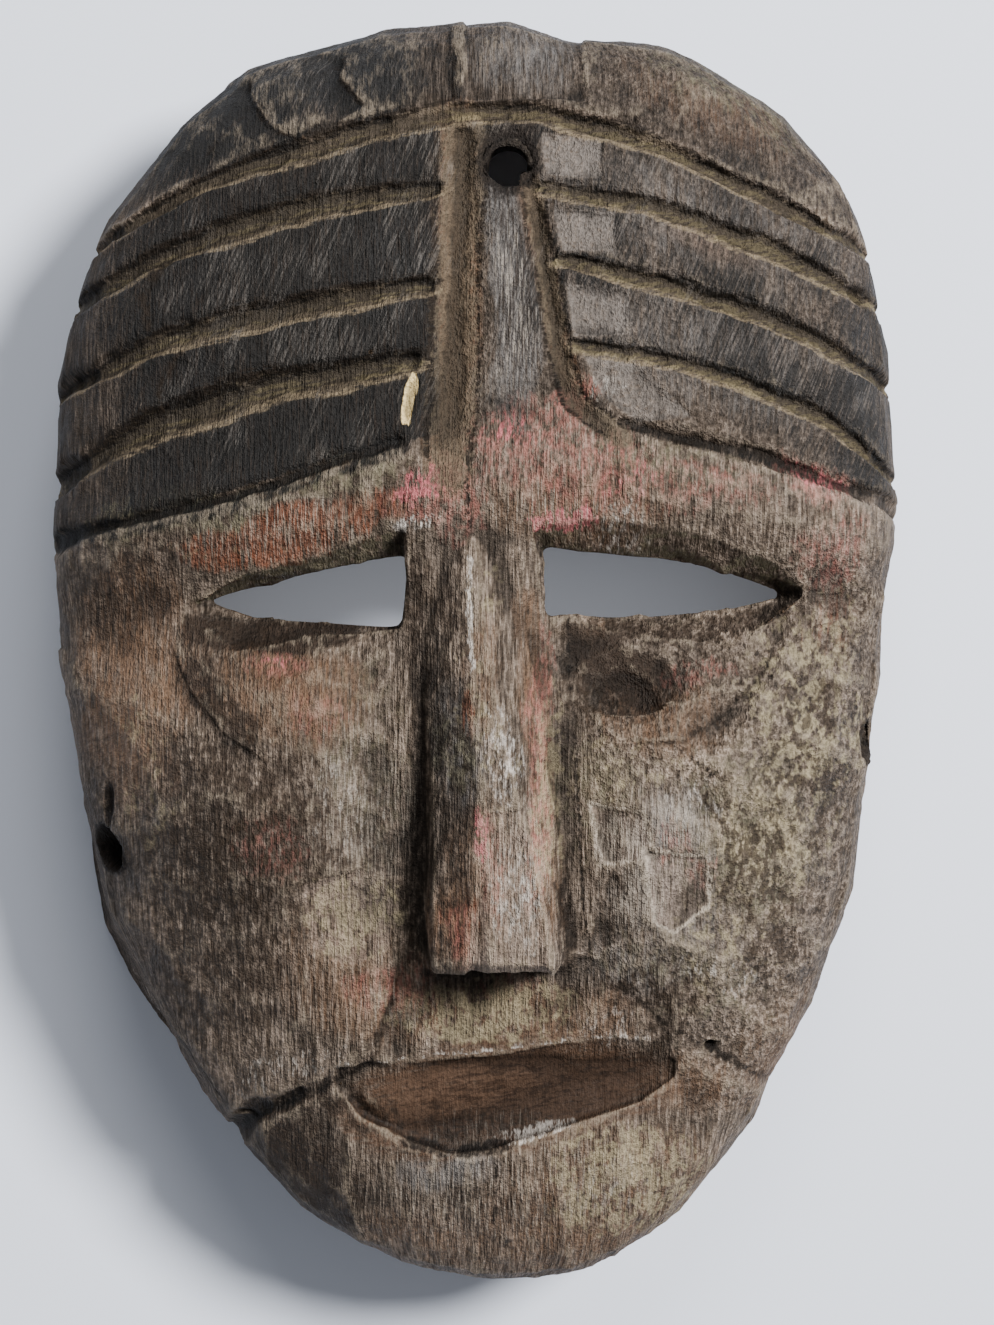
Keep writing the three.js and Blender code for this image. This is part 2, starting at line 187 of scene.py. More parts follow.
steps = {  # the edge of one cut laid over the next; the ground to its right is lower
    "cap1": {"path": [(-4.6, 119.4), (-3.5, 110.1), (-4, 103.9), (-2.9, 101.2)], "depth": 0.9, "reach": 9},
    "cap2": {"path": [(-24.2, 112), (-25.6, 107.4), (-22.7, 103.8), (-20.2, 100.6)], "depth": 1.0,
             "reach": 10},
    "cap3": {"path": [(-42, 108), (-42, 103.9), (-38.3, 97.6), (-32.2, 94.4)], "depth": 0.9, "reach": 12},
    "band1": {"path": [(-60, 58), (-61.5, 66), (-57, 73)], "depth": 0.5, "reach": 9},
    "band2": {"path": [(-57, 40), (-58, 48), (-54, 55)], "depth": 0.6, "reach": 8},
    "jawLeft": {"path": [(-68, -52), (-64, -60), (-57, -72), (-47, -85)], "depth": 0.9, "reach": 9},
    "lidLeft": {"path": [(-56.2, 2.4), (-52.2, -7.6), (-45.3, -15.8), (-36.5, -21.1)], "depth": 0.5,
                "reach": 9, "darkening": 0.4},
    "lidRight": {"path": [(27, -17.2), (38.1, -16.8), (45.5, -12.3), (53.8, -3.6), (58, 6)], "depth": 0.4,
                 "reach": 7, "darkening": 0.5},
}
gouges = {  # small scoops, chips and holes
    "creaseOuter": {"at": (-41.5, -86.4), "size": (4.6, 2.6), "turn": 28, "depth": 0.7, "darkening": 0.45},
    "creaseMiddle": {"at": (-34.4, -84), "size": (4.2, 1.6), "turn": 35, "depth": 0.5, "darkening": 0.6},
    "creaseInner": {"at": (-27.6, -81), "size": (3.4, 1.2), "turn": 66, "depth": 0.4, "darkening": 0.6},
    "jawCut": {"at": (-46.6, -91), "size": (5, 3), "turn": 40, "depth": 0.6, "darkening": 0.3},
    "worm": {"at": (44.3, -73.9), "size": (1.5, 1.1), "turn": 20, "depth": 2.4, "darkening": 1.0},
    "freshChip": {"at": (-11.4, 46), "size": (1.5, 5.4), "turn": -8, "depth": 0.9, "darkening": 0.0},
    "crownDent": {"at": (-17, 97.6), "size": (2.2, 1.6), "turn": 0, "depth": 0.7, "darkening": 0.2},
    "topHoleFunnel": {"at": (5.8, 90.6), "size": (6.2, 7), "turn": 10, "depth": 1.2, "darkening": 1.0},
    "lipRag1": {"at": (2, -92.8), "size": (7, 1.4), "turn": 8, "depth": 0.4, "darkening": 0.8},
    "lipRag2": {"at": (-9, -92.4), "size": (6, 1.3), "turn": -14, "depth": 0.3, "darkening": 0.8},
}
slits = {  # on the side walls: a dark slot above the left tie hole and a break at the right one
    "leftSlot": {"at": (-67.8, -28, 48), "size": (1.6, 6, 4), "depth": 1.5},
    "rightBreak": {"at": (75, -17.5, 41), "size": (5, 5.4, 5), "depth": 1.2},
}
cracks = [  # thin dark splits
    [(17.2, 5.3), (18.1, -9.4), (19.1, -27.6), (20, -45.9), (21.4, -55.2)],
    [(37.8, -18.3), (41.2, -21.2), (45.8, -23.4)],
    [(50, 0.5), (54, -2), (56, -8), (61, -12)],
    [(-0.6, 40), (-0.9, 30), (-0.6, 22)],
    [(-12.4, 36), (-13, 41), (-12.2, 50)],
    [(4, -96), (4.4, -100), (3.6, -107)],
    [(-42, 101), (-47, 96), (-52, 89)],
]
chisel = {
    "cap": {"width": 22, "length": 17, "turn": 12, "depth": 0.7, "seed": 11},
    "bands": {"width": 7, "length": 22, "turn": 8, "depth": 0.34, "seed": 23},
    "face": {"width": 13, "length": 11, "turn": -24, "depth": 1.35, "seed": 37},
    "chin": {"width": 5.5, "length": 17, "turn": 3, "depth": 0.65, "seed": 41},
    "nose": {"width": 3.6, "length": 16, "turn": -4, "depth": 0.22, "seed": 47},
    "wall": {"width": 21, "length": 26, "turn": 0, "depth": 1.1, "seed": 53},
    "scoop": {"width": 6, "length": 7, "turn": 30, "depth": 0.8, "seed": 59},
    "hollow": {"width": 14, "length": 20, "turn": 20, "depth": 0.9, "seed": 67},
}
softAreas = [  # cuts that are worn round: path, reach in mm
    (steps["lidLeft"]["path"], 10),
    ([(18, -13), (28, -16), (38, -14), (42, -8)], 10),
    (creases["right"]["path"], 6),
    ([(-16, -66), (-12, -57)], 5),
]
# painted shade: the deep part of the scoop is painted dark
scoopShade = [  # the deep part under the right eye
    [(17.6, 4.8), (23.6, 4), (27.5, 0.2), (23.5, -6), (18.7, -2)],
    [(25.6, 0.6), (37.3, -3.6), (36.7, -6.9), (29.8, -11.3), (22.6, -5)],
]
mouthShape = {"at": (5.5, -82), "size": (34, 11.5), "turn": 8}
scoopShape = {"at": (28, -6), "size": (13, 10), "turn": -20}
relief = {  # heights in mm
    "swells": 0.35, "dents": 0.16, "grooveBed": 0.8, "grooveRough": 0.3, "grooveBank": 0.22,
    "grooveChips": 1.3, "browBed": 0.7, "browRough": 0.25, "channelRough": 0.25, "channelEdge": 0.3,
    "creaseBed": 0.3, "creaseRough": 0.15, "scoopFill": 1.1, "mouthGrain": 0.12, "woodGrain": 0.09,
    "crumbs": 0.05, "faceCrumbs": 0.1, "faceLumps": 0.14, "hollowLumps": 0.3,
}
rimRoom = 2.0  # mm above the rim where the carving fades out, so the mask lies flat
# the shape's making, in metres: the plug fills the gap under the thin skin at a groove's end
plug = {"at": (0.073, 0.065, 0.042), "radius": 0.0032}
sculpt = {"voxel": 0.0006, "softening": 4, "wearing": 220, "smoothBy": 0.5, "mostTriangles": 194000}
belowRim = (0, 0, -25)  # seen from here, in mm, the hollow faces the eye and the skin faces away


def readMesh(piece):
    count = len(piece.data.vertices)
    points, normals = np.empty(count * 3), np.empty(count * 3)
    piece.data.vertices.foreach_get("co", points)
    piece.data.vertices.foreach_get("normal", normals)
    return points.reshape(-1, 3) * 1000, normals.reshape(-1, 3)


def regionsOf(points, normals):
    # how much each point belongs to the face, the hollow and each area of the face
    x, y, z = points.T
    away = points - np.array(belowRim)
    away /= np.linalg.norm(away, axis=1)[:, None]
    facing = np.sum(away * normals, axis=1)
    crown = alongPath(x, y, grooves["crown"]["path"])[0]
    leftBrow, rightBrow = (alongPath(x, y, browLines[side])[0] for side in ("left", "right"))
    brow = np.where(x < 8, leftBrow, rightBrow)
    wall = fadeIn(0.55 - normals[:, 2], 0, 0.4) * fadeIn(np.hypot(x, y * 0.67), 52, 62)
    wall *= fadeIn(facing, 0, 0.3)
    muzzle = fadeIn(-57 - y, 0, 4) * fadeIn(42 - np.abs(x), 0, 8)
    mouth = fadeIn(spot(x, y, **mouthShape), 0, 0.15)
    outside = np.maximum(fadeIn(facing, -0.05, 0.2), (mouth > 0) * fadeIn(z, 49, 51))
    outside = np.maximum(outside, fadeIn(normals[:, 2], 0.05, 0.3) * fadeIn(z, 8, 14))
    regions = {"skin": outside, "hollow": np.minimum(fadeIn(-facing, 0.1, 0.4), 1 - outside), "wall": wall}
    regions["cap"] = fadeIn(crown, 1.5, 3.5)
    regions["bands"] = (1 - fadeIn(crown, -2, 0)) * fadeIn(brow, 0.2, 1.4)
    regions["chin"] = np.maximum(muzzle, fadeIn(-84 - y, 0, 6)) * (1 - mouth)
    regions["scoop"] = fadeIn(spot(x, y, **scoopShape), 0, 0.4)
    regions["browRidge"] = (1 - fadeIn(brow, -1, 0.4)) * fadeIn(y, 14, 20)
    others = regions["cap"] + regions["bands"] + regions["chin"] + regions["browRidge"] + mouth
    regions["face"] = np.clip(1 - others, 0, 1)
    regions["nose"] = fadeIn(z - 62, 0, 5) * fadeIn(19.5 - np.abs(x - 3.4), 0, 2) * fadeIn(27 - y, 0, 2)
    return regions


def inSlit(points, slit):  # 1 at the slit's middle, 0 beyond it
    reach = sum(((p - c) / s) ** 2 for p, c, s in zip(points.T, slit["at"], slit["size"]))
    return np.clip(1 - reach, 0, 1)


def strayOf(points):  # how far in mm the hand strayed from the drawn line
    return 0.55 * roughness(points, 6, 3) + 0.25 * roughness(points, 2, 4)


def acrossGroove(x, y, groove, stray):  # 0 in the middle of the bed, about 0.5 and -0.5 at the edges
    offset, share, _ = alongPath(x, y, groove["path"])
    if groove["path"][0][0] > 0:
        share = 1 - share  # the width is told from the outer end
    taper = share if groove.get("bothEnds") else 1 - share * 0.9
    swell = 0.45 + 0.55 * np.sin(np.pi * np.clip(taper, 0, 1))
    swell = swell * (1 + 0.22 * roughness(np.stack([x, y, 0 * x], axis=1), 11, 12))
    return (offset + stray) / (groove["width"] * swell)


def ridge(offset, width):  # 1 on the line and fading to both sides
    return np.exp(-(offset / width) ** 2)


def carve(points, normals):
    x, y, z = points.T
    regions = regionsOf(points, normals)
    height = relief["swells"] * roughness(points, 21, 1) + relief["dents"] * roughness(points, 7, 2)
    height *= 1 - 0.7 * regions["nose"]
    bearing = np.arctan2(y, x * 1.35) * 95
    for name, area in chisel.items():
        along, across = (bearing, z) if name == "wall" else (x, y)
        level, _ = chiselCuts(along, across, area)
        share = regions[name] * (1 - regions["wall"] if name not in ("wall", "hollow") else 1)
        if name in ("face", "chin"):
            share = share * (1 - regions["nose"])
        if name == "face":
            share = share * (0.55 + 0.45 * fadeIn(x, 0, 20))  # the left cheek is the smoother one
        height += level * share
    stray = strayOf(points)
    ragged = roughness(points, 1.7, 5)
    top = 1 - regions["wall"] * 0.3
    chips = np.clip(roughness(points, 3.6, 14), 0, 1) * (1 - regions["wall"])
    for groove in grooves.values():
        across = acrossGroove(x, y, groove, stray)
        height -= relief["grooveBed"] * ridge(across - 0.2, 0.28) * top
        height += (relief["grooveRough"] * ragged - 0.1) * ridge(across, 0.5)
        height += relief["grooveBank"] * ridge(across + 0.66, 0.16)
        height -= relief["grooveChips"] * chips * ridge(across - 0.62, 0.18)
    for path in browLines.values():
        offset, _, _ = alongPath(x, y, path)
        height -= relief["browBed"] * ridge(offset + 0.3 * stray, 0.9)
        height += relief["browRough"] * ragged * ridge(offset + 2.4, 2.2)
    for channel in channels.values():
        offset, _, _ = alongPath(x, y, channel["path"])
        height += relief["channelRough"] * ragged * np.exp(-(offset / (0.5 * channel["width"])) ** 4)
        for edge in (-0.46, 0.46):
            height -= relief["channelEdge"] * ridge(offset - edge * channel["width"] + stray, 0.7)
    for crease in creases.values():
        offset, _, _ = alongPath(x, y, crease["path"])
        worked = relief["creaseRough"] * ragged - relief["creaseBed"]
        height += worked * ridge(offset + stray, 0.35 * crease["width"])
    for step in steps.values():
        offset, share, distance = alongPath(x, y, step["path"])
        ends = fadeIn(np.minimum(share, 1 - share), 0, 0.12)
        low = fadeIn(-offset - 0.6 * stray, -0.35, 0.35) * (1 - fadeIn(distance, 0.5, step["reach"]))
        height -= step["depth"] * low * ends
    height += relief["scoopFill"] * spot(x, y, (29, -5.5), (10, 7))
    for facet in facets.values():
        depth = insidePolygon(x, y, facet["corners"]) + 0.8 * stray
        height -= facet["depth"] * fadeIn(depth, -0.2, 0.5)
    for gouge in gouges.values():
        inside = spot(x + 0.5 * stray, y + 0.4 * ragged, gouge["at"], gouge["size"], gouge["turn"])
        height -= gouge["depth"] * fadeIn(inside, 0, 0.7) * (z > 44)
    for slit in slits.values():
        height -= slit["depth"] * inSlit(points, slit)
    mouth = np.minimum(-(y + 74), 30) * fadeIn(36 - np.abs(x - 5), 0, 4)
    height += relief["mouthGrain"] * roughness(points, (5, 1.2, 5), 6) * fadeIn(mouth, 0, 2)
    granular = np.clip(regions["face"] + regions["browRidge"], 0, 1)
    crumbs = relief["crumbs"] + relief["faceCrumbs"] * granular
    height += relief["woodGrain"] * roughness(points, (1.0, 9, 2), 7)
    height += crumbs * roughness(points, (1.4, 1.7, 1.4), 8)
    height += relief["faceLumps"] * granular * roughness(points, (3.1, 3.8, 3.1), 10)
    height *= regions["skin"]
    cuts, _ = chiselCuts(x, y + z, chisel["hollow"])
    height += (cuts + relief["hollowLumps"] * roughness(points, 9, 9)) * regions["hollow"]
    return height * fadeIn(z, 0.1, rimRoom)


def selectOnly(piece):
    bpy.ops.object.select_all(action="DESELECT")
    piece.select_set(True)
    bpy.context.view_layer.objects.active = piece


def applyModifier(piece, kind, settings):
    modifier = piece.modifiers.new(kind.lower(), kind)
    for name, value in settings.items():
        setattr(modifier, name, value)
    bpy.ops.object.modifier_apply(modifier=modifier.name)


def weigh(piece, name, weights):  # a vertex group, in steps of a tenth
    group = piece.vertex_groups.new(name=name)
    steps = np.round(weights * 10).astype(int)
    for step in range(1, 11):
        group.add(np.flatnonzero(steps == step).tolist(), step / 10, "REPLACE")


def makeCarving():
    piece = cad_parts["mask"].copy()
    piece.data = piece.data.copy()
    piece.name = piece.data.name = "carvedWood"
    piece.parent = None
    for key in list(piece.keys()):
        del piece[key]
    bpy.context.scene.collection.objects.link(piece)
    selectOnly(piece)
    bpy.ops.object.mode_set(mode="EDIT")
    bpy.ops.mesh.select_all(action="SELECT")
    bpy.ops.mesh.remove_doubles(threshold=0.00001)
    bpy.ops.object.mode_set(mode="OBJECT")
    bpy.ops.mesh.primitive_uv_sphere_add(segments=24, ring_count=12, radius=plug["radius"],
                                         location=plug["at"])
    piece.select_set(True)
    bpy.context.view_layer.objects.active = piece
    bpy.ops.object.join()
    applyModifier(piece, "REMESH", {"mode": "VOXEL", "voxel_size": sculpt["voxel"]})
    applyModifier(piece, "SMOOTH", {"iterations": sculpt["softening"], "factor": sculpt["smoothBy"]})
    points, normals = readMesh(piece)
    x, y, _ = points.T
    near = [fadeIn(reach - alongPath(x, y, path)[2], 0, 0.6 * reach) for path, reach in softAreas]
    weigh(piece, "worn", np.max(near, axis=0) * (normals[:, 2] > -0.2))
    applyModifier(piece, "SMOOTH", {"iterations": sculpt["wearing"], "factor": sculpt["smoothBy"],
                                    "vertex_group": "worn"})
    points, normals = readMesh(piece)
    points += normals * carve(points, normals)[:, None]
    points[:, 2] = np.maximum(points[:, 2], 0)
    piece.data.vertices.foreach_set("co", (points / 1000).ravel())
    piece.data.update()
    triangles = 2 * len(piece.data.polygons)
    applyModifier(piece, "DECIMATE", {"ratio": min(1, sculpt["mostTriangles"] / triangles)})
    piece.vertex_groups.clear()
    print("triangles before thinning:", triangles)
    piece.data.materials.clear()
    bpy.ops.object.shade_smooth()
    return piece


lowerLidPath = [(-51, 3.8), (-43, 2.2), (-33, 2.2), (-24, 4)]  # under the left eye
# The paint and the wear, layer by layer: ovals as (x, y, half width, half height, turn, strength) and
# lines as (path, half width, strength)
paint = {
    "smokeAndShade": {"ovals": [
        (-34, -8, 20, 14, -10, 0.7), (36, -6, 26, 12, 0, 0.7), (-38, -100, 24, 16, -30, 1.1),
        (64, -10, 14, 24, 0, 0.4), (5, 70, 9, 38, 0, 0.95), (20, 100, 60, 14, -10, 0.4),
        (-34, 24, 30, 10, 10, 0.5), (-26, -34, 20, 20, 0, 0.35), (-66, 10, 14, 14, 0, 0.4),
        (0, -105, 40, 16, 0, 0.15), (-70, -30, 8, 40, 0, 0.4), (30, 30, 40, 14, 0, 0.15),
        (40, -56, 30, 20, 0, 0.15), (6, -83, 34, 11, 8, 0.4)
    ]},
    "grey": {"ovals": [
        (7, 66, 6, 30, 3, 0.85), (40, 78, 44, 16, -16, 0.4), (44, 56, 42, 14, -22, 0.45),
        (10, 112, 14, 12, 0, 0.5), (-30, 108, 24, 12, 8, 0.5), (36, -36, 14, 16, 0, 0.5),
        (-2, -18, 5, 14, 0, 0.7), (-5, -97, 12, 4, 0, 0.7), (30, -58, 14, 9, 0, 0.5),
        (36, -50, 20, 14, 0, 0.4), (-60, -34, 8, 20, 0, 0.3), (-14, 72, 8, 22, 0, 0.6)
    ]},
    "olive": {"ovals": [
        (-52, 25, 26, 5, 12, 0.75), (-24, 31, 16, 5, 12, 0.6), (50, -34, 18, 22, 20, 0.45),
        (22, -26, 12, 18, 0, 0.4), (-3, -19, 4, 8, 0, 0.8), (34, 34, 26, 5, -10, 0.45),
        (-20, -20, 12, 30, 0, 0.35), (38, -60, 26, 10, -20, 0.4), (48, 104, 26, 8, -30, 0.4)
    ]},
    "warm": {"ovals": [
        (-62, -6, 14, 28, 0, 0.7), (-34, -8, 20, 12, -10, 0.65), (44, 100, 24, 8, -26, 0.3),
        (24, -104, 30, 18, 10, 0.5), (-8, -110, 16, 8, 0, 0.4), (-14, -66, 22, 9, 0, 0.6),
        (62, -76, 18, 14, 40, 0.4), (20, 26, 22, 9, 0, 0.5), (-24, -58, 14, 16, 0, 0.45),
        (44, 74, 12, 4, -20, 0.35), (-40, 88, 20, 6, 14, 0.4), (12, -68, 22, 8, 0, 0.6),
        (40, -80, 14, 8, -30, 0.5), (-4, -50, 6, 9, 0, 0.7), (3, -4, 4, 14, 0, 0.5),
        (2, -40, 7, 16, 0, 0.6), (22, 8, 5, 10, 0, 0.4), (34, -12, 14, 8, 0, 0.5)
    ], "lines": [
        ([(-3, 98), (-3.4, 60), (-4.3, 32)], 4.6, 0.75), ([(10, 86), (16, 56), (20, 44)], 2.4, 0.7),
        ([(10, 8), (12, -20), (14, -50)], 3.2, 0.5)
    ]},
    "mouthFloor": {"ovals": [
        (6, -83, 35, 12.5, 8, 1.3)
    ]},
    "mouthLines": {"ovals": [
        (6, -83, 34, 12, 8, 0.45)
    ]},
    "dark": {"ovals": [
        (-44, -36, 26, 24, 20, 0.8), (-46, -60, 20, 20, 30, 0.55), (-32, -28, 14, 16, 0, 0.4),
        (24, -5, 11, 8, -20, 0.7), (31, -9, 9, 6, 0, 0.6), (-38, -98, 22, 14, -30, 0.9),
        (-70, 12, 14, 16, 0, 0.45), (-60, 18, 26, 6, 12, 0.5), (58, -34, 16, 26, 0, 0.35),
        (36, -62, 14, 9, -30, 0.6), (-19, -26, 5, 28, 0, 0.4), (26, -48, 7, 16, 0, 0.5),
        (-72, -40, 10, 28, 0, 0.6), (-56, -80, 16, 9, -40, 0.5), (60, -62, 14, 12, 0, 0.35),
        (66, 14, 6, 3, 0, 0.4), (-12, -48, 2.6, 8, 0, 0.4), (-22, -86, 14, 5, -20, 0.8),
        (0, -90, 18, 4, 8, 0.6), (-4, -50, 4, 10, 0, 0.5), (-46.2, -10, 4.2, 14, 40, 1.05)
    ], "lines": [
        (lowerLidPath, 3.0, 1.3), ([(-27, 4), (-14, 4)], 1.4, 0.7),
        # the line from (-10.4, -57) is painted shade beside the nose's left foot, the line from (-8, -59.6)
        # a painted shadow under the nose
        ([(18, 4.6), (32, 3.4), (46, 4), (56, 7)], 2.4, 0.8), ([(-10.4, -57), (-9.6, 16)], 1.9, 0.65),
        ([(17.6, -57), (16.4, 12)], 1.0, 0.5), ([(-8, -59.6), (16, -58.6)], 1.2, 0.6),
        ([(-48, -92), (-26, -81), (-18, -72)], 1.8, 0.5), ([(22, -60), (34, -68), (56, -81)], 1.4, 0.5),
        ([(-54, 2), (-50, -8), (-46, -14)], 1.0, 0.6), ([(15.4, -42), (17.2, -57)], 1.1, 0.9)
    ]},
    "sootAndShade": {"ovals": [
        (-24, 108, 18, 16, 0, 0.95), (-46, 98, 22, 18, 30, 1.1), (48, 66, 18, 6, -18, 0.7),
        (66, 46, 14, 8, -30, 0.7), (58, 40, 20, 5, -20, 0.55), (26, 90, 14, 6, -8, 0.4),
        # (-5.6, -14) is dark paint with painted shade on the nose's left side
        (52, 60, 24, 5.5, -18, 0.62), (52, 88, 14, 6, -30, 0.5), (-5.6, -14, 3.4, 32, 2, 0.5),
        (-46, -44, 18, 20, 0, 0.35), (-3, 110, 2.4, 12, 0, 0.7), (60, 70, 14, 7, -40, 0.55),
        (56, 58, 12, 5, -20, 0.6)
    ], "lines": [
        ([(-79, 20), (-57, 23.6), (-40, 27.8), (-26, 32.6), (-13, 37)], 2.2, 0.85),
        ([(30, 40), (39, 37.6), (53, 34.8), (65, 30)], 1.3, 0.55)
    ]},
    "orange": {"ovals": [
        (-38, 20.5, 18, 5.6, 10, 0.95), (-20, 25, 10, 5, 10, 0.6), (-0.4, -12, 1.6, 5, 0, 0.8),
        (-2, -50, 4.4, 8, 0, 0.55), (66, 4, 8, 12, 0, 0.3), (-34, -7, 10, 6, 0, 0.3),
        (-18, -64, 12, 8, 0, 0.35), (62, -76, 12, 8, 40, 0.3)
    ]},
    "cream": {"ovals": [
        (62, -14, 17, 28, 0, 0.52), (56, -34, 18, 18, 0, 0.46), (70, 4, 7, 14, 0, 0.35),
        (46, -54, 18, 16, 0, 0.35), (26, -22, 20, 10, 0, 0.35), (2, -14, 6, 28, 0, 0.3),
        (36, -38, 16, 16, 0, 0.25), (-40, 20, 34, 4, 10, 0.25), (4, 10, 5, 10, 0, 0.35),
        (20, 60, 80, 50, 0, 0.1), (-20, -20, 20, 20, 0, 0.2), (-60, -20, 10, 30, 0, 0.3),
        # (-21, -48) is a painted highlight on the lit left-cheek facet, (2, -67) painted light on the lip
        # where the nose's shadow falls
        (-21, -48, 10, 10, 0, 0.65), (2, -67, 24, 8, 0, 0.75), (13, -26, 4, 26, -4, 0.68),
        (28, -100, 20, 14, 0, 0.62), (5, -30, 10, 30, 0, 0.25)
    ]},
    "scabs": {"ovals": [
        (62, -20, 14, 26, 0, 0.5), (52, -40, 8, 10, 0, 0.7), (56, -52, 9, 10, 0, 0.6),
        (-42, -38, 22, 26, 0, 0.38), (46, -30, 8, 7, 0, 0.55), (70, -34, 7, 18, 0, 0.4),
        (-30, -64, 14, 10, 0, 0.25), (30, -66, 16, 6, -30, 0.45), (60, 98, 16, 10, -30, 0.3),
        (38, 104, 4, 3, 0, 0.6), (2, -22, 7, 12, 0, 0.35), (-10, -110, 40, 10, 0, 0.2),
        (24, -10, 8, 6, 0, 0.5), (-30, 30, 40, 6, 12, 0.35), (40, 34, 30, 6, -10, 0.35)
    ]},
    "red": {"ovals": [
        (-9, 27.5, 9, 6, 20, 0.5), (-3, 27, 8, 10, 0, 0.45), (9, 38, 13, 9, 0, 0.45),
        (20, 32, 22, 11, -10, 0.42), (42, 29, 16, 6, -8, 0.35), (63, 31, 11, 5, -20, 0.5),
        (66, 17, 10, 10, 0, 0.4), (2, -34, 2.4, 8, 8, 0.5), (-36, -2.5, 9, 3.6, 0, 0.4),
        (-28, -12, 9, 6, 0, 0.3), (37, -35, 5, 6, 0, 0.35), (43, -40, 4, 5, 0, 0.35),
        (12, -12, 3, 20, -4, 0.5), (11.5, -34, 3.4, 18, -4, 0.5), (18.5, 44, 5, 8, -40, 0.5),
        (-15, -63, 12, 7, 0, 0.4), (-36, -36, 10, 12, 20, 0.25), (42, -5, 9, 5, 0, 0.3),
        (-2, -52, 4, 7, 0, 0.45), (6, -62, 10, 4, 0, 0.3), (4, -42, 3, 12, 0, 0.4)
    ]},
    "pink": {"ovals": [
        (-10, 28.5, 6, 3.6, 24, 0.85), (17, 24, 8, 2.8, 12, 0.75), (63, 32, 8, 2.4, -22, 0.55),
        (1.4, -33, 1.7, 6, 6, 0.75), (-36, -2.4, 5, 1.6, 0, 0.4), (6, 40, 6, 4, 0, 0.4),
        (30, 30, 10, 6, 0, 0.3)
    ]},
    "white": {"ovals": [
        (8, -44, 6.6, 17, 0, 0.36), (5, -20, 4.4, 14, 0, 0.42), (-10.6, 22.8, 6, 1.8, 8, 0.65),
        (40, -28, 10, 8, 0, 0.35), (11, -90, 9, 1.5, 14, 0.9), (28, 22, 8, 8, 0, 0.35),
        (46, -60, 18, 7, 0, 0.28), (24, -70, 16, 6, 0, 0.25), (-36, -78, 18, 5, 20, 0.3),
        (-22, -28, 14, 16, 0, 0.25), (24, 48, 5, 6, 0, 0.3), (-64, -70, 4, 18, 30, 0.3),
        (26, -100, 18, 10, 0, 0.25)
    ], "lines": [
        ([(-0.4, 17), (0, 8), (0.6, -4)], 0.55, 0.75),
        # the thin line along the mouth's upper edge is a painted highlight
        ([(-25, -76.8), (-8, -75.4), (5, -74.2), (16, -72.4), (27, -71), (34, -72.2)], 0.35, 0.4)
    ]},
    "scratch": {"ovals": [
        (-20, -28, 14, 26, 0, 0.4), (30, -36, 14, 22, 0, 0.4), (8, -40, 10, 24, 0, 0.4),
        (14, 26, 30, 12, 0, 0.35), (-34, 22, 26, 8, 0, 0.4), (6, -100, 50, 20, 0, 0.35),
        (7, 64, 7, 30, 0, 0.4), (-34, -8, 16, 10, 0, 0.25), (-14, -66, 12, 8, 0, 0.4),
        (27, -34.5, 7, 7, 0, 0.9), (30, -45, 7, 8, 0, 0.75), (38, -31, 8, 6, 0, 0.75)
    ]},
    "hatch": {"ovals": [
        (-30, 23, 34, 10, 10, 0.38), (20, 30, 46, 13, -6, 0.34), (5, -24, 13, 38, 0, 0.36),
        (6, -102, 50, 18, 0, 0.36), (-4, -66, 26, 8, 0, 0.2), (7, 66, 8, 32, 0, 0.42),
        (-46, -30, 26, 40, 0, 0.32), (60, 10, 18, 30, 0, 0.3), (-26, -46, 14, 16, 0, 0.36),
        (26, -34, 10, 10, 0, 0.42)
    ]},
    "fresh": {"ovals": [
        (-11.4, 45.6, 1.5, 6.4, -8, 1.3)
    ]},
    "shade": {"ovals": [
        (6.2, 90, 8.5, 8.6, 0, 0.9)
    ]},
}


touches = {  # how strongly the paint follows the carving
    "scoopShadeDark": 1.6, "scoopShadeGlaze": 0.8, "channelWorn": 0.45, "edgeWorn": 1.0, "rightSoot": 0.44,
    "rightPatches": 0.42, "facetClean": 0.8, "noseTip": 0.52, "cheekLit": 0.5, "whiteEdged": 0.55,
    "striped": 0.5, "capSmoke": 1.0, "bandSmoke": 0.66, "leftSmoke": 0.24, "facetSmoke": -0.5,
    "glint": 0.13, "leftGlint": 0.1, "channelGlint": 0.14, "glintClumps": 0.3, "flankShade": 0.5,
    "revealPaintedLight": 0.7, "revealLightOlive": 0.9, "lidSmoke": 1.1, "revealLightTone": 0.95, "underLidTone": 0.2,
}
# the insides of the tie holes are painted dark as shade
topHole = {"at": (6.4, 89.8), "radius": 6.4}  # the dark inside of the tie holes, in mm
sideHoles = [(-1, (-37.5, 46.5), 5.6), (1, (-17.9, 41), 5.4)]  # side of the face, middle in y and z, radius
wearPasses = {"edges": 6, "darkening": 30}  # how far out the surface is evened to tell edges and hollows


def drawPaint(x, y, points):
    bentX = 2.6 * roughness(points, 9, 21) + 1.1 * roughness(points, 3.2, 22)
    bentY = 2.6 * roughness(points, 9, 23) + 1.1 * roughness(points, 3.2, 24)
    layers = {}
    for name, strokes in paint.items():
        cover = np.zeros(len(x))
        for px, py, rx, ry, turn, strength in strokes.get("ovals", []):
            bend = min(1, min(rx, ry) / 5)  # small strokes keep their place
            inside = spot(x + bend * bentX, y + bend * bentY, (px, py), (rx, ry), turn)
            cover = np.maximum(cover, strength * inside ** 0.7)
        for path, half, strength in strokes.get("lines", []):
            distance = alongPath(x + 0.3 * bentX, y + 0.3 * bentY, path)[2]
            cover = np.maximum(cover, strength * fadeIn(half - distance, -0.4 * half, 0.6 * half))
        layers[name] = cover
    return layers


def inFacets(x, y, names, stray, low, high):  # 1 inside the flat cuts, 0 outside
    inside = [fadeIn(insidePolygon(x, y, facets[name]["corners"]) + stray, low, high) for name in names]
    return np.max(inside, axis=0)


